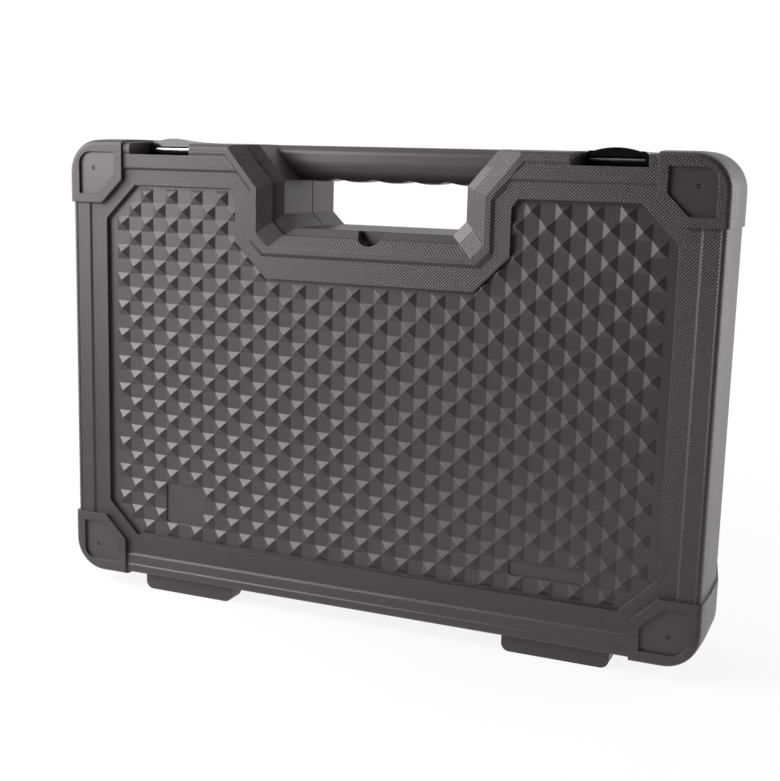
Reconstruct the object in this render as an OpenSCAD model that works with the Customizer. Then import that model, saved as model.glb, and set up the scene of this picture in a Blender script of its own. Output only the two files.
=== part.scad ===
// Hard tool case: two blow-moulded half shells hinged along the bottom, a
// carrying handle moulded into the top, and two snap latches on steel pins.
// It stands upright on its feet: X is the width, the front faces -Y, and the
// ground is z = 0. The shells meet on an upright parting plane.

/* [Shells] */
// Width of the shells
case_w = 410; // [370:5:450]
// Height of the shells, without the feet
case_h = 280; // [250:5:320]
// Depth of the front shell, from the parting plane to its rim face
front_d = 48; // [44:1:60]
// Depth of the back shell, from the parting plane to its rim face
back_d = 34; // [33:1:44]
// Corner radius of the shells seen from the front
corner_r = 20; // [16:1:24]
// Radius round the outer edge of the front and back faces
edge_r = 3; // [2:0.5:5]
// How far the front shell's sides curve in towards its rim
front_bow = 1.2; // [0:0.1:2]
// Length of that curve, measured back from the rim
bow_reach = 25; // [15:1:30]
// How far the back shell's sides draw in from the parting plane to its rim
back_draft = 5.6; // [2:0.1:6]
// Thickness of the side and bottom walls
side_wall = 8; // [6:0.5:11]
// Thickness of the wall behind the quilted panel
face_wall = 3; // [2:0.5:5]
// Thickness of the floor under a latch pocket
pocket_floor = 3; // [2:0.5:5]
// Inner edge radius of the two trays
tray_r = 5; // [2:0.5:8]

/* [Face relief] */
// Width of the raised rim at the left and right
rim_side = 12.5; // [10:0.5:16]
// Width of the raised rim at the bottom
rim_low = 12.5; // [10:0.5:16]
// Width of the raised rim at the top
rim_top = 15.5; // [12:0.5:18]
// Step from the rim down to the band
rim_step = 1.5; // [0.8:0.1:2.5]
// Width of the slope down that step
rim_slope = 2; // [1:0.1:3]
// Depth of the front rim inside its outer ring
ring_step = 0.5; // [0.2:0.1:0.8]
// Width of the outer ring at the left and right
ring_side = 3.4; // [3:0.1:5]
// Width of the outer ring at the top and bottom
ring_top = 6.5; // [4:0.5:9]
// Distance of the panel from the left and right sides of the case
panel_side = 25.5; // [22:0.5:32]
// Distance of the panel from the top and bottom of the case
panel_top = 27; // [24:0.5:34]
// Step from the band down to the panel floor
panel_step = 2.8; // [2:0.1:4]
// Chamfer across the corners of the panel
panel_chamfer = 21; // [14:1:28]
// Side of one quilt cell
quilt_cell = 8.9; // [8:0.1:12]
// Height of a quilt pyramid
quilt_h = 2.6; // [1.2:0.1:3.6]
// Least flat margin between the quilt and the band
quilt_margin = 1.5; // [1:0.5:6]
// Depth of the blank windows in the quilt
window_sink = 0.8; // [0.4:0.1:1.4]

/* [Corner bumpers] */
// Length of a bumper along each side
bumper_l = 38.5; // [34:0.5:46]
// How far a bumper stands proud of the shell
bumper_proud = 1.3; // [0.8:0.1:3]
// Chamfer across the inner corner of a bumper
bumper_chamfer = 15; // [8:1:20]
// Border between a bumper's recess and its inner edges
bumper_border = 5.5; // [4:0.5:8]
// Border between a bumper's recess and the sides of the shell
bumper_edge = 7; // [5:0.5:10]
// Depth of the recess in a bumper
bumper_sink = 1.8; // [0.8:0.1:3]
// Diameter of the round mark in a bumper's recess
dot_d = 2.5; // [1.5:0.5:4]
// Distance of that mark from the sides of the shell
dot_inset = 17; // [14:0.5:20]

/* [Handle] */
// Half width of the hand opening
grip_half = 58; // [52:1:66]
// Depth of the hand opening below the top of the case
grip_drop = 49; // [45:1:56]
// Chamfer in the lower corners of the hand opening
grip_chamfer = 8; // [5:1:12]
// Height at which the opening starts to widen, below the top
flare_drop = 21; // [18:1:24]
// Widening of the opening for each millimetre above that
flare = 0.85; // [0.6:0.05:1.1]
// Wall between the hand opening and the tray
grip_wall = 8; // [6:0.5:12]
// Width of the long bevel at the sides of the opening
bevel_w = 8.5; // [5:0.5:10]
// Width of the long bevel under the opening
bevel_low = 7.5; // [5:0.5:9]
// Depth of the long bevel
bevel_d = 5; // [3:0.5:6]
// Width of the short inner bevel at the sides
lip_w = 5.5; // [2:0.5:7]
// Width of the short inner bevel under the opening
lip_low = 4.5; // [2:0.5:6]
// Depth of the short inner bevel
lip_d = 3.5; // [2:0.5:5]
// Straight step between the two bevels
lip_step = 1.5; // [0.5:0.5:3]
// Flat rim left round the long bevel
grip_rim = 3.4; // [2:0.2:6]
// Width of the band round that rim
surround_w = 11.5; // [8:0.5:14]
// Size of the back shell's bevels, against the front shell's
back_bevel = 0.3; // [0.2:0.1:0.6]
// Height of the handle bar
bar_h = 21.5; // [18:0.5:26]
// Thickness of the handle bar through both shells
bar_t = 34; // [26:1:38]
// Radius of the handle bar's upper edges
bar_r = 5; // [3:0.5:7]
// Radius of the handle bar's lower edges
belly_r = 12; // [8:0.5:13]
// Pitch of the finger grips
finger_pitch = 23.8; // [20:0.2:26]
// Depth of the finger grips
finger_wave = 2.4; // [0.5:0.1:3]
// Radius of the thumb notch in the ledge under the handle
notch_r = 8.5; // [6:0.5:11]

/* [Latches] */
// Distance of each latch from the side of the case
latch_inset = 65; // [60:1:72]
// Width of a latch
latch_w = 35; // [28:1:38]
// How far each end of a latch pocket widens towards the front
pocket_flare = 3.6; // [2:0.2:5]
// Depth of the latch pockets below the top of the case
pocket_h = 8; // [7:0.5:11]
// Distance of the latch pin in front of the parting plane
latch_pin_y = 26.5; // [22:0.5:32]
// Diameter of the latch pin
latch_pin_d = 3; // [2:0.5:4]
// Reach of the latch behind the parting plane
latch_reach = 17; // [14:1:20]
// Height of the dome on a latch
dome_h = 1.9; // [0.5:0.1:2.5]

/* [Hinges and feet] */
// Height of the feet, from the ground to the shells
foot_h = 9.5; // [8:0.5:14]
// Width of a foot
foot_w = 64; // [50:1:76]
// Distance of each foot and hinge from the side of the case
foot_inset = 82.5; // [76:0.5:100]
// Thickness of a foot, front to back
foot_t = 12.5; // [9:0.5:15]
// Distance of a foot behind its shell's rim face
foot_back = 5.5; // [4:0.5:7]
// Radius of a foot's lower corners
foot_r = 5; // [2:0.5:7]
// Total width of a hinge
hinge_w = 60; // [40:1:70]
// Diameter of a hinge pin
hinge_pin_d = 3.2; // [2.5:0.1:4]

/* [Clearances] */
// Radial running clearance of a turning piece on its pin
run_clear = 0.06; // [0.02:0.01:0.1]
// Gap between pieces that pass each other
part_gap = 0.4; // [0.3:0.1:0.8]
// Depth of the groove that marks the parting line
seam = 0.4; // [0.2:0.1:0.8]

/* [Hidden] */
$fn = 48;
over = 20;                                      // how far a cutter runs past an open side
arc_steps = 8;                                  // strips in the rounding of a slab's edge
top = foot_h + case_h;
mid = foot_h + case_h / 2;
part_y = (front_d - back_d) / 2;                // the parting plane, so that the case is centred
panel_drop = rim_step + panel_step;
panel_w = case_w - 2 * panel_side;
panel_h = case_h - 2 * panel_top;
latch_x = case_w / 2 - latch_inset;
foot_x = case_w / 2 - foot_inset;
pocket_w = latch_w + 2 * part_gap;
pin_l = pocket_w + 8;                           // 4 mm of each end in the wall of the pocket
hinge_z = (foot_h - part_gap) / 2;              // low enough for the case to open flat past its feet
knuckle_r = hinge_z - part_gap / 2;
bar_low = top - bar_h;
ledge_z = top - grip_drop;
latch_pin_z = top - pocket_h / 2 - part_gap / 2;
barrel_r = latch_pin_z - (top - pocket_h) - part_gap;
plate_top = top + part_gap;
plate_t = 3;
hook_t = 3;
knuckle_l = 2;                                  // latch material round each end of its pin
dome_w = 25;
dome_fall = 2.5;                                // angle at which the dome runs out to the back
catch_w = 24;
catch_t = 2.5;
catch_h = 2.2;
finger_room = 8;                                // behind a closed latch
notch_d = 14;                                   // depth of the thumb notch
quilt_sink = 1;                                 // how far the quilt block goes into the wall
rim_gap = bevel_w + lip_w + grip_rim;           // hand opening to the step round it, at its sides
rim_gap_low = bevel_low + lip_low + grip_rim;   // and below it
notch_side = rim_gap + surround_w;              // hand opening to the panel, at its sides
notch_low = rim_gap_low + surround_w + 4;       // and below it
notch_half = grip_half + notch_side;
notch_z = top - grip_drop - notch_low;
quilt_cols = 2 * floor((panel_w - 2 * quilt_margin) / quilt_cell / 2 - 0.5) + 1;
quilt_rows = 2 * floor((panel_h - 2 * quilt_margin) / quilt_cell / 2 - 0.5) + 1;
mark_cells = [4, 1, 3, 3];                      // blank window: first column, first row, columns, rows
label_cells = [30, 1, 5, 1];

shell_grey = [0.33, 0.32, 0.32];
latch_black = [0.06, 0.06, 0.06];
pin_steel = [0.75, 0.75, 0.76];

// ---- Plan shapes. Each shell is drawn lying down: x is the width, y the
// height above the ground and z the distance out from the parting plane.

// Stands a shell's drawing up, on the front (side = 1) or the back (side = -1).
module stand(side)
    translate([0, part_y, 0])
        rotate([90, 0, side > 0 ? 0 : 180])
            children();

// Ways in which a side leans in by the given distance over a depth d, as points
// of [distance in, height]: straight, above an upright skirt where it is a
// cutter, or in a curve over the last part of it.
function straight_side(d, lean) = [[0, 0], [lean, d]];
function skirted_side(skirt, d, lean) = [[0, 0], [0, skirt], [lean, skirt + d]];
function bowed_side(d, lean, reach) =
    concat([[0, 0]], [for (k = [0 : 5]) [lean * k * k / 25, d - reach + reach * k / 5]]);

// Section of a slab edge: a leaning side, and its outer corner rounded by e.
module edge_section(len, e, side) {
    n = len(side);
    run = side[n - 1] - side[n - 2];
    lean = atan(run.x / run.y);
    d = side[n - 1].y;
    // the rounding runs from the side's last stretch to the top
    centre = [len - side[n - 1].x - e / cos(lean) + e * tan(lean), d - e];
    polygon(concat([[0, 0]], [for (k = [0 : n - 2]) [len - side[k].x, side[k].y]],
                   [for (k = [0 : arc_steps])
                    let (turn = lean + (90 - lean) * k / arc_steps)
                    centre + e * [cos(turn), sin(turn)]],
                   [[0, d]]));
}

// Slab with corner radius r and the given sides, its upper edges rounded by e.
module slab(w, h, r, e, side) {
    for (s = [0, 180])
        rotate(s) {
            rotate([90, 0, 90])
                translate([0, 0, -(w / 2 - r)])
                    linear_extrude(w - 2 * r) edge_section(h / 2, e, side);
            translate([w / 2 - r, h / 2 - r, 0])
                rotate([90, 0, 0])
                    linear_extrude(h - 2 * r) edge_section(r, e, side);
            translate([w / 2 - r, h / 2 - r, 0])
                rotate_extrude(angle = 90) edge_section(r, e, side);
            translate([w / 2 - r, r - h / 2, 0])
                rotate(-90)
                    rotate_extrude(angle = 90) edge_section(r, e, side);
        }
}

// Outline of the hand opening grown by t, with its own lower chamfer and drop.
function grip_outline(t, chamfer, low = undef) =
    let (half = grip_half + t,
         base = ledge_z - (low == undef ? t : low),
         bend = top - flare_drop - t * tan(atan(flare) / 2),
         high = top + over,
         wide = half + (high - bend) * flare)
    [[-wide, high], [-half, bend], [-half, base + chamfer], [chamfer - half, base],
     [half - chamfer, base], [half, base + chamfer], [half, bend], [wide, high]];

// Solid between an outline at height z0 and another, of as many points, at z1.
// Both run down one side, across and up the other, so each end is a ladder of
// four-sided rungs.
module loft(low_outline, z0, high_outline, z1) {
    n = len(low_outline);
    polyhedron(
        points = concat([for (p = low_outline) [p.x, p.y, z0]],
                        [for (p = high_outline) [p.x, p.y, z1]]),
        faces = concat([for (i = [0 : n / 2 - 2]) [i, i + 1, n - 2 - i, n - 1 - i]],
                       [for (i = [0 : n / 2 - 2])
                        [2 * n - 1 - i, 2 * n - 2 - i, n + i + 1, n + i]],
                       [for (i = [0 : n - 1]) [i, n + i, n + (i + 1) % n, (i + 1) % n]]));
}

// Outline inside the case at these distances from its sides, bottom and top,
// with chamfered corners.
function face_outline(side, low, high, chamfer) =
    let (x = case_w / 2 - side, y0 = foot_h + low, y1 = top - high)
    [[chamfer - x, y1], [-x, y1 - chamfer], [-x, y0 + chamfer], [chamfer - x, y0],
     [x - chamfer, y0], [x, y0 + chamfer], [x, y1 - chamfer], [x - chamfer, y1]];

// Cutter that lowers the face inside such an outline by a step, down a slope,
// and leaves the rim of the hand opening standing.
module face_cut(depth, step, slope, side, low, high)
    difference() {
        loft(face_outline(side + slope, low + slope, high + slope, rim_side), depth - step,
             face_outline(side - slope, low - slope, high - slope, rim_side), depth + step);
        loft(grip_outline(rim_gap + 2 * slope, grip_chamfer, rim_gap_low + 2 * slope),
             depth - 2 * step,
             grip_outline(rim_gap - 2 * slope, grip_chamfer, rim_gap_low - 2 * slope),
             depth + 2 * step);
    }

// ---- The quilt: pyramids on every other cell of a square grid.

function in_notch(x, y) =
    y > notch_z
    && abs(x) < notch_half
    && abs(x) - y < notch_half - notch_z - panel_chamfer;
function in_panel(x, y) =
    abs(x) < panel_w / 2
    && abs(y - mid) < panel_h / 2
    && abs(x) + abs(y - mid) < (panel_w + panel_h) / 2 - panel_chamfer
    && !in_notch(x, y);
function in_cells(c, r, cells) =
    c >= cells[0] && c < cells[0] + cells[2] && r >= cells[1] && r < cells[1] + cells[3];

// Block set into the panel floor, whose upper face carries the pyramids.
module quilt(windows) {
    x0 = -quilt_cols * quilt_cell / 2;
    y0 = mid - quilt_rows * quilt_cell / 2;
    across = quilt_cols + 1;
    cells = [for (r = [0 : quilt_rows - 1]) for (c = [0 : quilt_cols - 1])
             let (open = len([for (w = windows) if (in_cells(c, r, w)) 1]) == 0,
                  x = x0 + (c + 0.5) * quilt_cell,
                  y = y0 + (r + 0.5) * quilt_cell)
             [c, r, (c + r) % 2 == 0 && open && in_panel(x, y), x, y]];
    raised = [for (q = cells) if (q[2]) q];
    grid = [for (r = [0 : quilt_rows]) for (c = [0 : quilt_cols])
            [x0 + c * quilt_cell, y0 + r * quilt_cell, 0]];
    tips = [for (q = raised) [q[3], q[4], quilt_h]];
    corners = [for (q = [[-1, -1], [1, -1], [1, 1], [-1, 1]])
               [q.x * (panel_w / 2 + 1), mid + q.y * (panel_h / 2 + 1)]];
    n = len(grid);
    t = n + len(tips);
    b = t + 4;
    polyhedron(
        points = concat(grid, tips,
                        [for (q = corners) [q.x, q.y, 0]],
                        [for (q = corners) [q.x, q.y, -quilt_sink]]),
        faces = concat(
            [for (q = cells) let (i = q[1] * across + q[0])
             if (!q[2]) [i, i + across, i + across + 1, i + 1]],
            [for (k = [0 : len(raised) - 1])
             let (i = raised[k][1] * across + raised[k][0],
                  ring = [i, i + 1, i + across + 1, i + across])
             for (j = [0 : 3]) [n + k, ring[(j + 1) % 4], ring[j]]],
            [concat([t], [for (c = [0 : quilt_cols]) c], [t + 1])],
            [concat([t + 1], [for (r = [0 : quilt_rows]) r * across + quilt_cols], [t + 2])],
            [concat([t + 2], [for (c = [quilt_cols : -1 : 0]) quilt_rows * across + c], [t + 3])],
            [concat([t + 3], [for (r = [quilt_rows : -1 : 0]) r * across], [t])],
            [for (j = [0 : 3]) [t + j, t + (j + 1) % 4, b + (j + 1) % 4, b + j]],
            [[b, b + 1, b + 2, b + 3]]));
}

// Rounded sinking of a block of cells.
module window(cells) {
    w = cells[2] * quilt_cell;
    h = cells[3] * quilt_cell;
    translate([(cells[0] - quilt_cols / 2) * quilt_cell + w / 2,
               mid + (cells[1] - quilt_rows / 2) * quilt_cell + h / 2])
        rounded(w, h, quilt_cell / 4);
}

module rounded(w, h, r) {
    square([w - 2 * r, h], center = true);
    square([w, h - 2 * r], center = true);
    for (x = [-1, 1])
        for (y = [-1, 1])
            translate([x * (w / 2 - r), y * (h / 2 - r)]) circle(r);
}

// ---- Corner bumpers

// Area of one bumper, in the upper right corner of the case.
module bumper_area()
    polygon([[case_w / 2 - bumper_l, case_h / 2 + over],
             [case_w / 2 - bumper_l, case_h / 2 - bumper_l + bumper_chamfer],
             [case_w / 2 - bumper_l + bumper_chamfer, case_h / 2 - bumper_l],
             [case_w / 2 + over, case_h / 2 - bumper_l],
             [case_w / 2 + over, case_h / 2 + over]]);

// Area of the recess in it, with one corner rounded and one cut off.
module bumper_recess_area() {
    low = bumper_l - bumper_border;
    cut = bumper_chamfer * 0.8;
    round_r = corner_r - bumper_edge - bumper_border;
    hull() {
        translate([case_w / 2, case_h / 2])
            polygon([[-low, -bumper_edge], [-low, cut - low], [cut - low, -low],
                     [-bumper_edge, -low]]);
        translate([case_w / 2 - bumper_edge - round_r, case_h / 2 - bumper_edge - round_r])
            circle(round_r);
    }
}

module at_corners()
    translate([0, mid])
        for (x = [0, 1])
            for (y = [0, 1])
                mirror([x, 0]) mirror([0, y]) children();

// Slab of a shell grown by proud, whose lower edge is set back by the seam.
module seamed_slab(proud, side) {
    w = case_w + 2 * proud;
    h = case_h + 2 * proud;
    r = corner_r + proud;
    translate([0, mid]) {
        translate([0, 0, seam]) slab(w, h, r, edge_r, side);
        linear_extrude(2 * seam) rounded(w - 2 * seam, h - 2 * seam, r - seam);
    }
}

// ---- Handle

// Hand opening right through one shell, bevelled back from the face. Size is
// that of the bevels, against the front shell's.
module grip_cut(depth, size) {
    deep = depth - size * bevel_d;
    inner = deep - size * lip_step;
    lip = grip_outline(size * lip_w, grip_chamfer, size * lip_low);
    loft(lip, deep,
         grip_outline(size * (lip_w + 2 * bevel_w), grip_chamfer,
                      size * (lip_low + 2 * bevel_low)),
         depth + size * bevel_d);
    translate([0, 0, inner]) linear_extrude(size * lip_step) polygon(lip);
    loft(grip_outline(0, grip_chamfer), inner - size * lip_d, lip, inner);
    translate([0, 0, -1])
        linear_extrude(inner - size * lip_d + 1) polygon(grip_outline(0, grip_chamfer));
    translate([0, 0, -1])
        linear_extrude(1 + seam) polygon(grip_outline(seam, grip_chamfer));
}

// Height of the underside of the bar at x: a bulge for each gap between fingers.
function bar_under(x) =
    bar_low + finger_wave * (1 - sqrt(pow(cos(180 * x / finger_pitch), 2) * 0.96 + 0.04));

// One shell's half of the handle bar, let into the cheeks of the hand opening.
module bar() {
    reach = grip_half + 40;
    step = finger_pitch / 10;
    intersection() {
        rotate([90, 0, 90])
            translate([0, 0, -reach])
                linear_extrude(2 * reach) {
                    translate([bar_low, 0]) square([bar_h, bar_t / 2 - belly_r]);
                    translate([bar_low + belly_r, 0])
                        square([bar_h - belly_r, bar_t / 2 - bar_r]);
                    translate([bar_low + belly_r, 0])
                        square([bar_h - belly_r - bar_r, bar_t / 2]);
                    translate([bar_low + belly_r, bar_t / 2 - belly_r]) circle(belly_r);
                    translate([top - bar_r, bar_t / 2 - bar_r]) circle(bar_r);
                }
        linear_extrude(bar_t)
            intersection() {
                polygon(concat([[reach, top], [-reach, top]],
                               [for (x = [-reach : step : reach]) [x, bar_under(x)]]));
                polygon(grip_outline(2, grip_chamfer));
            }
    }
}

// ---- Hinges, feet and latch pockets

// Knuckle of a given length, its middle at x, with the web that carries it.
module knuckle(x, length) {
    translate([x - length / 2, hinge_z, 0])
        rotate([0, 90, 0]) cylinder(h = length, r = knuckle_r);
    translate([x - length / 2, hinge_z - knuckle_r / 3, part_gap])
        cube([length, foot_h + 1 - hinge_z + knuckle_r / 3, knuckle_r + 1]);
}

module foot(x, outer_face)
    translate([x, 0, outer_face - foot_t])
        linear_extrude(foot_t)
            intersection() {
                translate([0, (foot_h + over) / 2]) rounded(foot_w, foot_h + over, foot_r);
                translate([-foot_w, 0]) square([2 * foot_w, foot_h + side_wall - 1]);
            }

// Latch pocket, wide enough for the latch from the back to reach, and from
// there widened by flare up to the end.
module pocket_cut(reach, end, flare) {
    w = pocket_w / 2;
    wide = w + flare;
    translate([0, top + over, 0])
        rotate([90, 0, 0])
            linear_extrude(pocket_h + over)
                polygon([[-w, -1], [w, -1], [w, reach], [wide, end], [-wide, end], [-w, reach]]);
}

module tray_cut(depth, lean) {
    top_wall = pocket_h + pocket_floor;
    low = foot_h + side_wall;
    h = top - top_wall - low;
    difference() {
        translate([0, low + h / 2, -1])
            slab(case_w - 2 * side_wall, h, corner_r - side_wall, tray_r,
                 skirted_side(1, depth - panel_drop - face_wall, lean));
        translate([0, 0, -2])
            linear_extrude(depth) polygon(grip_outline(grip_wall, grip_chamfer + 2));
    }
}

// ---- One half of the case, lying on its parting plane

// Side and bumper_side are the sides of the shell and of its bumpers, lean is
// how far the tray's walls lean in, and bevels is the size of the grip's bevels.
module half_case(depth, side, bumper_side, lean, bevels, windows) {
    floor_z = depth - panel_drop;
    recess_z = depth + bumper_proud - bumper_sink;
    difference() {
        union() {
            difference() {
                seamed_slab(0, side);
                face_cut(depth, rim_step, rim_slope, rim_side, rim_low, rim_top);
                translate([0, 0, floor_z - quilt_sink / 2])
                    linear_extrude(over)
                        difference() {
                            polygon(face_outline(panel_side, panel_top, panel_top,
                                                 panel_chamfer));
                            polygon(grip_outline(notch_side, panel_chamfer, notch_low));
                        }
                children();
            }
            translate([0, 0, floor_z]) quilt(windows);
            intersection() {
                seamed_slab(bumper_proud, bumper_side);
                linear_extrude(depth + over) at_corners() bumper_area();
            }
        }
        for (w = windows)
            translate([0, 0, floor_z - window_sink]) linear_extrude(over) window(w);
        translate([0, 0, recess_z])
            linear_extrude(over) at_corners() bumper_recess_area();
        translate([0, 0, recess_z - bumper_sink / 2])
            linear_extrude(over)
                at_corners()
                    translate([case_w / 2 - dot_inset, case_h / 2 - dot_inset]) circle(d = dot_d);
        grip_cut(depth, bevels);
        tray_cut(depth, lean);
    }
    bar();
    for (s = [-1, 1]) foot(s * foot_x, depth - foot_back);
}

module front_shell()
    color(shell_grey)
        stand(1)
            difference() {
                union() {
                    difference() {
                        half_case(front_d, bowed_side(front_d - seam, front_bow, bow_reach),
                                  bowed_side(front_d + bumper_proud - seam, front_bow, bow_reach),
                                  front_bow, 1, [mark_cells, label_cells])
                            face_cut(front_d, ring_step, 2 * ring_step,
                                     ring_side, ring_top, ring_top);
                        for (s = [-1, 1])
                            translate([s * latch_x, 0, 0])
                                pocket_cut(latch_pin_y + barrel_r, front_d + 1, pocket_flare);
                        translate([0, ledge_z, front_d - notch_d])
                            cylinder(h = over, r = notch_r);
                    }
                    for (s = [-1, 1]) knuckle(s * foot_x, hinge_w / 2 - part_gap);
                }
                translate([-case_w / 2, hinge_z, 0])
                    rotate([0, 90, 0]) cylinder(h = case_w, r = hinge_pin_d / 2 + run_clear);
                for (s = [-1, 1])
                    translate([s * latch_x - pin_l / 2 - part_gap, latch_pin_z, latch_pin_y])
                        rotate([0, 90, 0]) cylinder(h = pin_l + 2 * part_gap, d = latch_pin_d);
            }

module back_shell()
    color(shell_grey)
        stand(-1)
            difference() {
                union() {
                    difference() {
                        half_case(back_d, straight_side(back_d - seam, back_draft),
                                  straight_side(back_d + bumper_proud - seam, back_draft),
                                  back_draft, back_bevel, []);
                        for (s = [-1, 1])
                            translate([s * latch_x, 0, 0])
                                pocket_cut(latch_reach, latch_reach + finger_room, pocket_flare);
                    }
                    for (s = [-1, 1]) {
                        for (e = [-1, 1])
                            knuckle(s * foot_x + e * hinge_w * 3 / 8, hinge_w / 4);
                        catch(s * latch_x);
                    }
                }
                translate([-case_w / 2, hinge_z, 0])
                    rotate([0, 90, 0]) cylinder(h = case_w, d = hinge_pin_d);
            }

// Ridge on the floor of a back pocket that the latch snaps behind.
module catch(x)
    translate([x - catch_w / 2, top - pocket_h - 1, latch_reach - hook_t - part_gap - catch_t])
        cube([catch_w, 1 + catch_h, catch_t]);

module hinge_pin(s)
    color(pin_steel)
        translate([s * foot_x - hinge_w / 2, part_y, hinge_z])
            rotate([0, 90, 0]) cylinder(h = hinge_w, d = hinge_pin_d);

// ---- Latches, drawn round the pin: x along it, y back over the case

// The latch seen from the front: its upper corners are rounded by r.
module latch_front(low, rise, r) {
    translate([-latch_w / 2, low]) square([latch_w, rise - r - low]);
    translate([r - latch_w / 2, low]) square([latch_w - 2 * r, rise - low]);
    for (e = [-1, 1]) translate([e * (latch_w / 2 - r), rise - r]) circle(r);
}

// The latch from the side: a barrel round the pin with a plate to the back, and
// cheeks under it.
module latch_side(length, rise, low) {
    circle(barrel_r);
    translate([-barrel_r, 0]) square([2 * barrel_r, rise]);
    translate([0, low]) square([length - 2, rise - low]);
    translate([0, rise - plate_t]) square([length, plate_t]);
    translate([length - hook_t, top - pocket_h + part_gap - latch_pin_z])
        square([hook_t, pocket_h]);
}

module latch(s) {
    length = latch_pin_y + latch_reach;
    rise = plate_top - latch_pin_z;
    low = -barrel_r / 2;
    cheek = 2;
    window_w = latch_w - 2 * knuckle_l;
    dome_r = (dome_w * dome_w / 4 + dome_h * dome_h) / (2 * dome_h);
    color(latch_black)
        translate([s * latch_x, part_y - latch_pin_y, latch_pin_z])
            difference() {
                union() {
                    intersection() {
                        translate([0, length + 1, 0])
                            rotate([90, 0, 0])
                                linear_extrude(length + barrel_r + 2)
                                    latch_front(-pocket_h, rise, plate_t);
                        rotate([90, 0, 90])
                            translate([0, 0, -latch_w / 2])
                                linear_extrude(latch_w) latch_side(length, rise, low);
                    }
                    intersection() {
                        translate([0, -barrel_r, rise + dome_h])
                            rotate([-dome_fall, 0, 0])
                                translate([0, -1, -dome_r])
                                    rotate([-90, 0, 0]) cylinder(h = length, r = dome_r);
                        translate([-latch_w / 2, -barrel_r, rise - plate_t / 2])
                            cube([latch_w, length, plate_t + dome_h]);
                    }
                }
                // the hollow under the plate
                translate([cheek - latch_w / 2, barrel_r, -pocket_h])
                    cube([latch_w - 2 * cheek, length - hook_t - barrel_r,
                          pocket_h + rise - plate_t]);
                rotate([0, 90, 0])
                    cylinder(h = latch_w + 2, r = latch_pin_d / 2 + run_clear, center = true);
                translate([-window_w / 2, -over, -latch_pin_d / 2 - run_clear])
                    cube([window_w, over, latch_pin_d + 2 * run_clear]);
            }
}

module latch_pin(s)
    color(pin_steel)
        translate([s * latch_x - pin_l / 2, part_y - latch_pin_y, latch_pin_z])
            rotate([0, 90, 0]) cylinder(h = pin_l, d = latch_pin_d);

back_shell();
front_shell();
hinge_pin(-1);  // hinge_pin_left
hinge_pin(1);  // hinge_pin_right
latch(-1);  // latch_left
latch(1);  // latch_right
latch_pin(-1);  // latch_pin_left
latch_pin(1);  // latch_pin_right
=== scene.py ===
import math

import bmesh
import bpy
from mathutils import Matrix, Vector


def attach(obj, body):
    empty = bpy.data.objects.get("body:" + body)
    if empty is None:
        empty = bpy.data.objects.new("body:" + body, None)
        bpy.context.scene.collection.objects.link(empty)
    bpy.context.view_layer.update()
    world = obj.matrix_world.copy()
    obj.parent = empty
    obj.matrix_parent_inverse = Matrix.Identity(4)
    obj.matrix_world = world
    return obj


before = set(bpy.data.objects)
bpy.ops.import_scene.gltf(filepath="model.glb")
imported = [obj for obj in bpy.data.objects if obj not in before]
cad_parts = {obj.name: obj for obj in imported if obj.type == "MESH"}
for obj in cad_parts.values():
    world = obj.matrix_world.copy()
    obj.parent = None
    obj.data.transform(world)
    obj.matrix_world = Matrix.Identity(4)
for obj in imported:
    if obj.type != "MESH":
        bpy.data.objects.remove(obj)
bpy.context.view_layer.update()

print("frame loaded:", ", ".join(sorted(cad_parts)))


# ---- shader maths: an expression on wires adds its Math nodes

# & is the smaller of two values, | the larger, ~ turns a mask round
class Wire:
    def __init__(self, finish, socket):
        self.finish = finish
        self.socket = socket

    def maths(self, operation, *inputs):
        return self.finish.add("ShaderNodeMath", {"operation": operation}, *inputs)

    def __add__(self, other):
        return self.maths("ADD", self, other)

    def __radd__(self, other):
        return self.maths("ADD", other, self)

    def __sub__(self, other):
        return self.maths("SUBTRACT", self, other)

    def __rsub__(self, other):
        return self.maths("SUBTRACT", other, self)

    def __mul__(self, other):
        return self.maths("MULTIPLY", self, other)

    def __rmul__(self, other):
        return self.maths("MULTIPLY", other, self)

    def __pow__(self, other):
        return self.maths("POWER", self, other)

    def __rpow__(self, other):
        return self.maths("POWER", other, self)

    def __abs__(self):
        return self.maths("ABSOLUTE", self)

    def __and__(self, other):
        return self.maths("MINIMUM", self, other)

    def __rand__(self, other):
        return self.maths("MINIMUM", other, self)

    def __or__(self, other):
        return self.maths("MAXIMUM", self, other)

    def __ror__(self, other):
        return self.maths("MAXIMUM", other, self)

    def __invert__(self):
        return 1 - self

    def root(self):
        return self.maths("SQRT", self)

    def sine(self):
        return self.maths("SINE", self)

    def step(self, edge, soft, *levels):
        return self.finish.add("ShaderNodeMapRange", {"interpolation_type": "SMOOTHSTEP"},
                               self, edge - soft / 2, edge + soft / 2, *levels)

    # 1 where the value is above the edge, and 0 where it is below
    def above(self, edge, soft=0.3):
        return self.step(edge, soft)

    def below(self, edge, soft=0.3):
        return self.step(edge, soft, 1.0, 0.0)


class Nodes:
    def __init__(self, owner, output):
        owner.use_nodes = True
        self.tree = owner.node_tree
        self.tree.nodes.clear()
        self.result = self.tree.nodes.new(output)

    # adds a node: its settings first, then its sockets in order, then its sockets by name
    def add(self, kind, settings=None, *inputs, out=0, **named):
        node = self.tree.nodes.new(kind)
        for key, value in (settings or {}).items():
            setattr(node, key, value)
        for place, value in enumerate(inputs):
            self.plug(node, place, value)
        for key, value in named.items():
            self.plug(node, key.replace("_", " "), value)
        return Wire(self, node.outputs[out])

    def plug(self, node, place, value):
        if isinstance(value, Wire):
            self.tree.links.new(value.socket, node.inputs[place])
        elif value is not None:
            node.inputs[place].default_value = value

    def finishWith(self, surface):
        self.plug(self.result, "Surface", surface)


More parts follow.
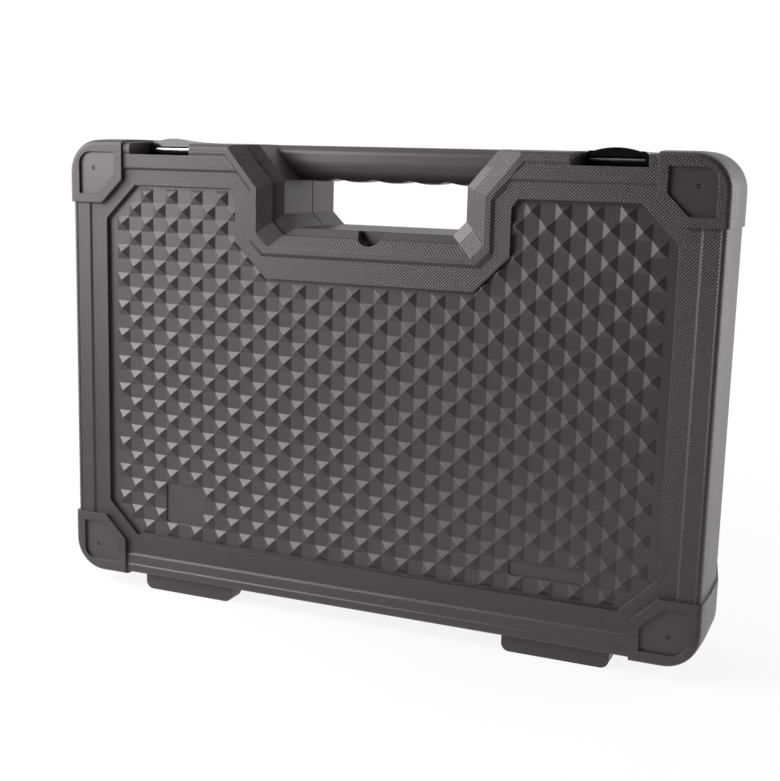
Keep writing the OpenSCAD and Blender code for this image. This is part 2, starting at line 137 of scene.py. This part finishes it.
# a material with one Principled shader
class Finish(Nodes):
    def __init__(self, name):
        self.material = bpy.data.materials.new(name)
        super().__init__(self.material, "ShaderNodeOutputMaterial")
        self.shader = self.tree.nodes.new("ShaderNodeBsdfPrincipled")
        self.finishWith(Wire(self, self.shader.outputs[0]))

    def set(self, **sockets):
        for key, value in sockets.items():
            self.plug(self.shader, key.replace("_", " "), value)

    # x, y and z in millimetres, in the frame of the whole case
    def place(self):
        where = self.add("ShaderNodeTexCoord", out=3)
        parts = [self.add("ShaderNodeSeparateXYZ", None, where, out=k) for k in range(3)]
        return [part * 1000.0 for part in parts]

    # how far the face looks along x, y and z, either way
    def facing(self):
        normal = self.add("ShaderNodeNewGeometry", out=3)
        return [abs(self.add("ShaderNodeSeparateXYZ", None, normal, out=k)) for k in range(3)]

    # a Mix node's colours are its sockets 6 and 7, after five for other kinds of value
    def mix(self, factor, first, second):
        return self.add("ShaderNodeMix", {"data_type": "RGBA"}, factor, *[None] * 5, first, second, out=2)

    def noise(self, scale, detail, rough=0.5):
        where = self.add("ShaderNodeTexCoord", out=3)
        return self.add("ShaderNodeTexNoise", None, where, Scale=scale, Detail=detail, Roughness=rough)

    def bump(self, height, distance, strength, under=None):
        return self.add("ShaderNodeBump", None, Strength=strength, Distance=distance,
                        Height=height, Normal=under)


def grey(level, warm=0.0):
    return (level * (1 + warm), level, level * (1 + warm * 0.5), 1.0)


# ---- the moulded shells

shellSizes = {
    "half": (205.0, 140.0),      # mm, half width and half height
    "mid": 149.5,                # height of the middle
    "parting": 7.0,              # y of the parting plane
    "panel": (179.5, 113.0),     # half size of the quilted panel
    "panelCut": 21.0,            # chamfer of its corners
    "notch": (86.9, 209.6, 256.9, 0.85),  # half width, base, bend and flare of the handle surround
    "bar": (86.0, 267.6, 17.3),  # half length, underside, half thickness of the handle
    "grip": (58.4, 240.2),       # half width and ledge of the hand opening
    "smoothBelow": 23.0,         # the bottom rounding and the feet have no knurl
    "traySide": 198.5,           # inside the trays
    "tray": (16.0, 279.5),
    "trayDepth": (-34.4, 34.4),
    "recess": (7.0, 33.0),       # a bumper's sunk field, from the outline of the shell
    "recessCut": (17.0, 54.0),   # its two cut corners, as the two distances added up
    "faceDepth": 30.0,           # the sides and the opening's walls, from the parting plane
}
shellLook = {
    "colour": 0.031,
    "warm": 0.18,                # a little more red and blue than green
    "smoothRoughness": 0.42,
    "knurlRoughness": 0.36,
    "knurlPitch": 1.95,          # mm along the face between grooves
    "knurlDepth": 0.00016,
    "groovePower": 0.7,          # below 1 the grooves are narrower than the lands
    "paintedGrooveShade": 0.55,         # painted shade: how much darker the knurl grooves are painted, standing in for the shade that falls in them
    "softEdge": 0.0006,          # m, how round the moulded edges look
    "grain": (1400.0, 0.00004),  # size, in cells per metre, and depth in m
    "waves": (14.0, 0.0012),     # slow waves of the blown wall
    "reliefStrength": 0.35,      # of the grain and the waves
    "blotch": 38.0,              # the wall's patches of tone and gloss
    "shades": (0.90, 1.16),      # darkest and palest patch
    "patchGloss": 0.10,
    "grainGloss": 0.05,
}


def shellFinish():
    f = Finish("shellPlastic")
    s = shellSizes
    x, y, z = f.place()
    width = abs(x)
    rise = abs(z - s["mid"])
    depth = abs(y - s["parting"])
    nx, ny, nz = f.facing()
    faceSide = ny.above(0.5, 0.2)

    # the panel, without the surround of the handle
    notchHalf, notchBase, notchBend, flare = s["notch"]
    opening = ((z - notchBend) | 0.0) * flare
    surround = (z.above(notchBase) & (width - opening).below(notchHalf)
                & (width - z).below(notchHalf - s["panelCut"] - notchBase))
    panel = (width.below(s["panel"][0]) & rise.below(s["panel"][1])
             & (width + rise).below(s["panel"][0] + s["panel"][1] - s["panelCut"]) & ~surround)

    # the sunk field of each corner bumper
    fromSide = s["half"][0] - width
    fromEnd = s["half"][1] - rise
    near, far = s["recess"]
    nearCut, farCut = s["recessCut"]
    recess = (fromSide.above(near) & fromEnd.above(near) & fromSide.below(far) & fromEnd.below(far)
              & (fromSide + fromEnd).below(farCut) & (fromSide + fromEnd).above(nearCut))

    bar = width.below(s["bar"][0]) & z.above(s["bar"][1]) & depth.below(s["bar"][2])
    inTray = (width.below(s["traySide"]) & z.above(s["tray"][0]) & z.below(s["tray"][1])
              & y.above(s["trayDepth"][0]) & y.below(s["trayDepth"][1]))
    inGrip = width.below(s["grip"][0]) & z.above(s["grip"][1]) & depth.below(s["faceDepth"], 4.0)
    low = z.below(s["smoothBelow"], 0.6)
    sides = (~faceSide) & depth.below(s["faceDepth"], 6.0)
    smooth = panel | recess | bar | inTray | inGrip | low | sides
    knurled = ~smooth

    # knurl: two sets of grooves at 45 degrees on whichever plane the surface lies in
    onSide = nx.above(0.72, 0.02)
    onTop = nz.above(0.72, 0.02)
    across = x * (~onSide) + y * onSide
    along = z * (~onTop) + y * onTop
    pace = math.pi / shellLook["knurlPitch"]
    diamonds = abs(((across + along) * pace).sine()) & abs(((across - along) * pace).sine())
    lands = diamonds ** shellLook["groovePower"]

    # fine grain of the mould, slow waves in the blown wall, and patches
    grainScale, grainDepth = shellLook["grain"]
    wavesScale, wavesDepth = shellLook["waves"]
    grain = f.noise(grainScale, 3.0)
    waves = f.noise(wavesScale, 1.5)
    blotch = f.noise(shellLook["blotch"], 4.0, 0.6)

    darkest, palest = (grey(shellLook["colour"] * shade, shellLook["warm"])
                       for shade in shellLook["shades"])
    tone = f.mix(blotch.above(0.5, 0.6) * 0.5, darkest, palest)
    # painted shade: the knurl's grooves are darkened in the base colour, as the shade that falls in them
    tone = f.mix(knurled * (1 - lands) * shellLook["paintedGrooveShade"], tone, (0, 0, 0, 1))
    moreRough = shellLook["knurlRoughness"] - shellLook["smoothRoughness"]
    rough = (shellLook["smoothRoughness"] + knurled * moreRough
             + (blotch - 0.5) * shellLook["patchGloss"] + (grain - 0.5) * shellLook["grainGloss"])
    rounded = f.add("ShaderNodeBevel", {"samples": 6}, shellLook["softEdge"])
    surface = f.bump(waves, wavesDepth, shellLook["reliefStrength"], rounded)
    surface = f.bump(grain, grainDepth, shellLook["reliefStrength"], surface)
    surface = f.bump(lands * knurled, shellLook["knurlDepth"], 1.0, surface)
    f.set(Base_Color=tone, Roughness=rough, Normal=surface, IOR=1.5)
    return f.material


def dress(names, material):
    for name in names:
        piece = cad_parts[name]
        piece.data.materials.clear()
        piece.data.materials.append(material)


shellPlastic = shellFinish()
dress(["back_shell", "front_shell"], shellPlastic)
print("shells finished")


# ---- the round marks that the mould leaves in the bumper recesses

markSizes = {
    "x": 0.188,                  # m, from the middle of the case
    "z": (0.0265, 0.2725),
    "seat": 0.0396,              # the blind end of the marks, in front of and behind the middle
    "radius": 0.0011,
    "rise": 0.0005,              # height of a disc's side
    "crown": 0.00015,            # and of its middle above that
    "sides": 24,
    "rings": 4,
}


# low crowned discs, all on one side of the case
def mouldMarks(name, body, side):
    m = markSizes
    bm = bmesh.new()
    for x in (-m["x"], m["x"]):
        for z in m["z"]:
            levels = [(m["radius"], 0.0)]
            for k in range(m["rings"]):
                inward = k / m["rings"]
                height = m["rise"] + m["crown"] * (1 - (1 - inward) ** 2)
                levels.append((m["radius"] * (1 - inward), height))
            rings = []
            for radius, height in levels:
                ring = []
                for k in range(m["sides"]):
                    turn = 2 * math.pi * k / m["sides"]
                    ring.append(bm.verts.new((x + radius * math.cos(turn), side * (m["seat"] + height),
                                              z + radius * math.sin(turn))))
                rings.append(ring)
            for low, high in zip(rings, rings[1:]):
                for k in range(m["sides"]):
                    j = (k + 1) % m["sides"]
                    bm.faces.new((low[k], low[j], high[j], high[k]))
            bm.faces.new(rings[0])
            top = bm.verts.new((x, side * (m["seat"] + m["rise"] + m["crown"]), z))
            for k in range(m["sides"]):
                bm.faces.new((rings[-1][k], rings[-1][(k + 1) % m["sides"]], top))
    bmesh.ops.recalc_face_normals(bm, faces=bm.faces)
    mesh = bpy.data.meshes.new(name)
    bm.to_mesh(mesh)
    bm.free()
    mesh.materials.append(shellPlastic)
    marks = bpy.data.objects.new(name, mesh)
    bpy.context.scene.collection.objects.link(marks)
    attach(marks, body)


mouldMarks("front_marks", "lid", -1)
mouldMarks("back_marks", "base", 1)
print("mould marks placed")


# ---- latches and pins

latchLook = {
    "colour": 0.006,
    "dusty": 2.4,                # how much paler the dust is
    "roughness": 0.08,
    "dustRoughness": 0.10,
    "ripple": 0.00012,           # m, the slight unevenness of the moulding
}
pinLook = {
    "colour": (0.80, 0.80, 0.82, 1.0),
    "speckColour": (0.60, 0.60, 0.62, 1.0),
    "roughness": 0.22,
    "lineRoughness": 0.10,       # the drawing lines round the pin
    "lineDepth": 0.00003,
    "linesPerMm": 6.0,
}


def latchFinish():
    f = Finish("latchPlastic")
    ripple = f.noise(260.0, 2.0)
    dust = f.noise(900.0, 4.0, 0.65)
    tone = f.mix(dust.above(0.62, 0.3) * 0.5, grey(latchLook["colour"]),
                 grey(latchLook["colour"] * latchLook["dusty"]))
    rough = latchLook["roughness"] + dust.above(0.55, 0.4) * latchLook["dustRoughness"]
    f.set(Base_Color=tone, Roughness=rough, Normal=f.bump(ripple, latchLook["ripple"], 0.2), IOR=1.42)
    return f.material


def pinFinish():
    f = Finish("pinSteel")
    x = f.place()[0]
    lines = f.add("ShaderNodeTexNoise", {"noise_dimensions": "1D"}, None, x * pinLook["linesPerMm"],
                  Scale=1.0, Detail=3.0)
    specks = f.noise(1800.0, 3.0)
    f.set(Base_Color=f.mix(specks.above(0.6, 0.3) * 0.3, pinLook["colour"], pinLook["speckColour"]),
          Metallic=1.0, Roughness=pinLook["roughness"] + lines * pinLook["lineRoughness"],
          Normal=f.bump(lines, pinLook["lineDepth"], 0.3))
    return f.material


dress(["latch_left", "latch_right"], latchFinish())
dress(["latch_pin_left", "latch_pin_right", "hinge_pin_left", "hinge_pin_right"], pinFinish())
print("latches and pins finished")


# ---- floor, light and camera

# each lamp: degrees to the left of the front, degrees up, distance, width and height, watts
lamps = {
    "keyLight": (48, 25, 0.75, (0.55, 0.50), 8.8),
    "highLight": (66, 56, 1.00, (0.80, 0.80), 2.0),
    "sideLight": (82, 12, 1.10, (0.90, 0.90), 5.0),
    "edgeLight": (-122, 10, 1.10, (0.60, 0.60), 6.0),  # behind the right side
}
studio = {
    "aim": (0.0, 0.0, 0.15),
    "lampColour": (1.0, 0.955, 0.975),
    "floorSize": 3.0,
    "floorFront": -0.62,         # the paper ends here, in front of the case
    "floorColour": 0.84,
    "floorNear": 0.88,           # share of plain white that the camera sees in the floor, by the case
    "fadeFrom": 250.0,           # mm from the middle, where the floor starts to fade into white
    "fadeOver": 350.0,
    "roomDark": 0.05,            # the room in front of the case
    "roomWhite": 0.80,           # the white sweep behind it
    "roomTurn": (-0.15, 0.5),    # where one turns into the other, and how softly
}


def softbox(name, left, up, distance, size, power):
    light = bpy.data.lights.new(name, "AREA")
    light.shape = "RECTANGLE"
    light.size, light.size_y = size
    light.energy = power
    light.color = studio["lampColour"]
    left, up = math.radians(left), math.radians(up)
    way = Vector((-math.sin(left) * math.cos(up), -math.cos(left) * math.cos(up), math.sin(up)))
    lamp = bpy.data.objects.new(name, light)
    lamp.location = Vector(studio["aim"]) + way * distance
    lamp.rotation_euler = way.to_track_quat("Z", "Y").to_euler()
    bpy.context.scene.collection.objects.link(lamp)


for name, lamp in lamps.items():
    softbox(name, *lamp)


def floorFinish():
    f = Finish("floorPaper")
    f.set(Base_Color=grey(studio["floorColour"]), Roughness=0.9)
    x, y, _ = f.place()
    far = (x * x + y * y).root()
    climb = (1.0 - studio["floorNear"]) / studio["fadeOver"]
    white = (far - studio["fadeFrom"]) * climb + studio["floorNear"]
    white = (white | studio["floorNear"]) & 1.0
    seen = f.add("ShaderNodeLightPath") | f.add("ShaderNodeLightPath", out=3)  # by the camera or in a gloss
    glow = f.add("ShaderNodeEmission", None, (1, 1, 1, 1), 1.0)
    f.finishWith(f.add("ShaderNodeMixShader", None, seen * white, Wire(f, f.shader.outputs[0]), glow))
    return f.material


def floorPaper():
    mesh = bpy.data.meshes.new("floor")
    edge, near = studio["floorSize"], studio["floorFront"]
    corners = [(-edge, near, 0), (edge, near, 0), (edge, edge, 0), (-edge, edge, 0)]
    mesh.from_pydata(corners, [], [(0, 1, 2, 3)])
    mesh.materials.append(floorFinish())
    floor = bpy.data.objects.new("floor", mesh)
    bpy.context.scene.collection.objects.link(floor)


def roomLight():
    world = bpy.data.worlds.new("room")
    bpy.context.scene.world = world
    n = Nodes(world, "ShaderNodeOutputWorld")
    way = n.add("ShaderNodeTexCoord")
    behind = n.add("ShaderNodeSeparateXYZ", None, way, out=1).above(*studio["roomTurn"])
    level = behind * (studio["roomWhite"] - studio["roomDark"]) + studio["roomDark"]
    byCamera = n.add("ShaderNodeLightPath")
    n.finishWith(n.add("ShaderNodeBackground", None, (1, 1, 1, 1), level | byCamera))


floorPaper()
roomLight()

# solved from the straight edges of the case's face
cameraSet = {
    "place": (0.2961, -0.71235, 0.27904),
    "right": (0.92172857, 0.38694873, 0.02621296),
    "down": (0.09188544, -0.15221168, -0.98406741),
    "forward": (-0.37679372, 0.90945164, -0.17585281),
    "lens": 58.15,
}
camera = bpy.data.cameras.new("camera")
camera.lens = cameraSet["lens"]
camera.sensor_width = 36.0
camera.sensor_fit = "AUTO"
eye = bpy.data.objects.new("camera", camera)
bpy.context.scene.collection.objects.link(eye)
right, down, forward = (Vector(cameraSet[k]) for k in ("right", "down", "forward"))
turn = Matrix((right, -down, -forward)).transposed().to_4x4()
eye.matrix_world = Matrix.Translation(Vector(cameraSet["place"])) @ turn
bpy.context.scene.camera = eye
bpy.context.scene.view_settings.view_transform = "Standard"
print("studio set")
